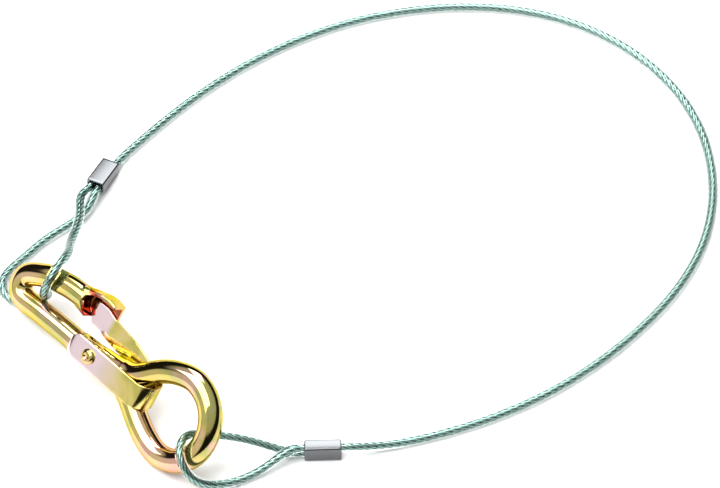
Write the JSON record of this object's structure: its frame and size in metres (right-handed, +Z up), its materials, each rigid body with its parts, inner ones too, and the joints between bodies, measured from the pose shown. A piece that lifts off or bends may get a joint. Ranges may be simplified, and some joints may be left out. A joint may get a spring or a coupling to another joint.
{
  "type": "wire rope snap hook tether",
  "caption": "Coated wire rope with pressed soft eyes at both ends, joined by a bent round-rod spring snap hook; it lies in one big loop.",
  "frame": {"origin": "centre of the snap hook's bounding box, on the surface that the hook and rope lie on", "axes": "+Z up, +Y along the hook from its ring eye to its top bend, +X towards the big rope loop"},
  "size_m": [0.2978, 0.2208, 0.0362],
  "materials": {
    "hook_zinc": "polished yellow zinc",
    "spring_zinc": "polished yellow zinc",
    "rivet_zinc": "polished yellow zinc",
    "ferrule_metal": "bright, pressed",
    "rope_sheath": "clear glossy sheath over steel strands"
  },
  "bodies": {
    "hook": {"hook_body": "hook_zinc", "spring_clip": "spring_zinc", "rivet": "rivet_zinc", "ferrule_ring_end": "ferrule_metal", "ferrule_bend_end": "ferrule_metal", "wire_rope": "rope_sheath"},
    "gate": {"gate_leaf": "spring_zinc"}
  },
  "joints": [
    {"name": "gate_hinge", "type": "hinge", "parent": "hook", "child": "gate", "pos_m": [0.00762, 0.00321, 0.01914], "axis": [0.6626, 0.0444, 0.7476], "range_deg": [0, 25], "stiffness_Nm_per_rad": 1.2, "springref_deg": -2.86}
  ]
}
